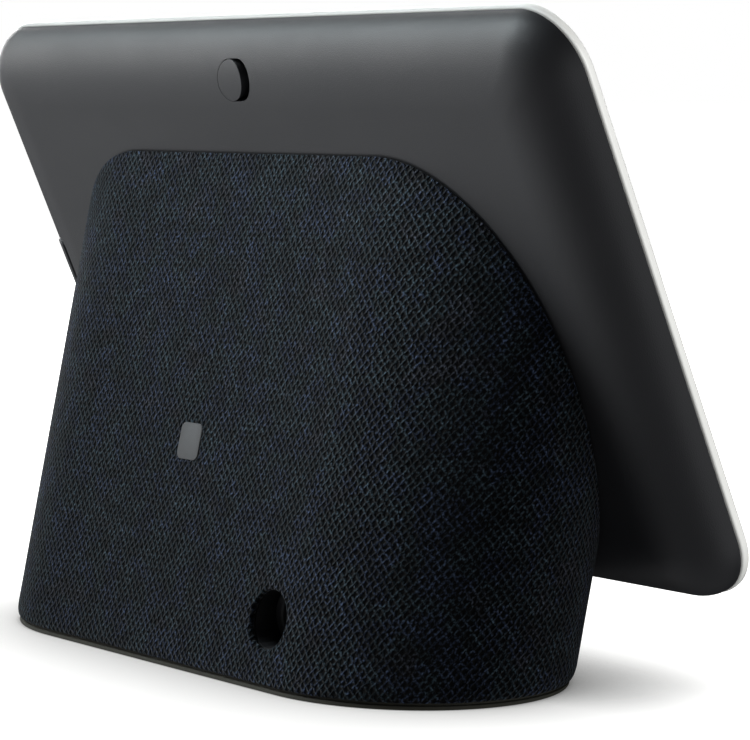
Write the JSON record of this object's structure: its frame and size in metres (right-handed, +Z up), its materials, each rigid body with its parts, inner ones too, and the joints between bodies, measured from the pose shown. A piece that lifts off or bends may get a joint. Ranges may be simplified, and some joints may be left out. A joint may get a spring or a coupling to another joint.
{
  "type": "smart display",
  "caption": "Tabletop smart display: a tilted slab screen with a soft-edged rear shell, fixed to a leaning fabric-covered speaker base with a round power inlet.",
  "frame": {"origin": "middle of the overall width and depth, on the surface the foot rests on", "axes": "+X across the screen, towards the volume rocker; the screen faces -Y and leans back; +Z up"},
  "size_m": [0.1784, 0.0668, 0.118],
  "materials": {
    "shell": "matte charcoal moulded shell with a very fine grain",
    "rim": "satin off-white moulded rim",
    "glass": "clear polished cover glass",
    "screen": "black, unlit display",
    "fabric": "heathered charcoal plain weave, pulled tight",
    "rubber": "matte dark olive-brown rubber",
    "inner_plastic": "black structural plastic",
    "sheet_metal": "plain sheet metal",
    "dark_steel": "dark plated steel",
    "board": "green solder mask",
    "chip": "black moulded package",
    "flex": "amber polyimide and copper",
    "cable": "black insulation",
    "ferrite": "grey ceramic magnet",
    "cone": "black pressed cone",
    "foam": "soft black foam and cloth"
  },
  "bodies": {
    "display": {"cover_glass": "glass", "bezel_frame": "rim", "lcd_panel": "screen", "backlight_tray": "sheet_metal", "display_flex": "flex", "main_board": "board", "processor": "chip", "shield_main": "sheet_metal", "shield_radio": "sheet_metal", "heat_spreader": "sheet_metal", "antenna_left": "flex", "antenna_right": "flex", "board_screw_1": "dark_steel", "board_screw_2": "dark_steel", "mic_gasket_left": "foam", "mic_gasket_right": "foam", "mic_board_left": "board", "mic_board_right": "board", "light_sensor_lens": "screen", "light_sensor_board": "board", "rear_housing": "shell", "mute_switch_case": "sheet_metal", "mute_switch_board": "board", "rocker_pin": "dark_steel", "volume_up_switch": "sheet_metal", "volume_down_switch": "sheet_metal", "volume_board": "flex", "neck_bracket": "dark_steel", "neck_screw_1": "dark_steel", "neck_screw_2": "dark_steel", "neck_screw_3": "dark_steel", "neck_screw_4": "dark_steel", "fabric_sleeve": "fabric", "base_core": "inner_plastic", "foot_pad": "rubber", "base_plate": "inner_plastic", "ballast_plate": "dark_steel", "base_screw_1": "dark_steel", "base_screw_2": "dark_steel", "base_screw_3": "dark_steel", "base_screw_4": "dark_steel", "speaker_enclosure": "inner_plastic", "speaker_frame": "dark_steel", "speaker_top_plate": "dark_steel", "speaker_magnet": "ferrite", "speaker_yoke": "dark_steel", "speaker_surround": "foam", "speaker_spider": "foam", "power_jack_body": "inner_plastic", "power_jack_pin": "sheet_metal", "power_jack_board": "board", "power_cable": "cable", "speaker_cable": "cable"},
    "mute_slider": {"mute_slider": "shell", "mute_switch_knob": "inner_plastic"},
    "volume_rocker": {"volume_rocker": "shell"},
    "speaker_cone": {"speaker_cone": "cone", "speaker_voice_coil": "flex"}
  },
  "joints": [
    {"name": "mute_slide", "type": "slide", "parent": "display", "child": "mute_slider", "axis": [-1, 0, 0], "range_m": [0, 0.0026]},
    {"name": "volume_tilt", "type": "hinge", "parent": "display", "child": "volume_rocker", "pos_m": [0.08172, -0.00515, 0.06491], "axis": [-0.9134, 0.3724, -0.1642], "range_deg": [-1.8, 1.8], "stiffness_Nm_per_rad": 0.3},
    {"name": "cone_travel", "type": "slide", "parent": "display", "child": "speaker_cone", "axis": [0, 0.9726, 0.2324], "range_m": [-0.0012, 0.0012], "stiffness_N_per_m": 1500, "deforming": ["speaker_surround", "speaker_spider"]}
  ]
}
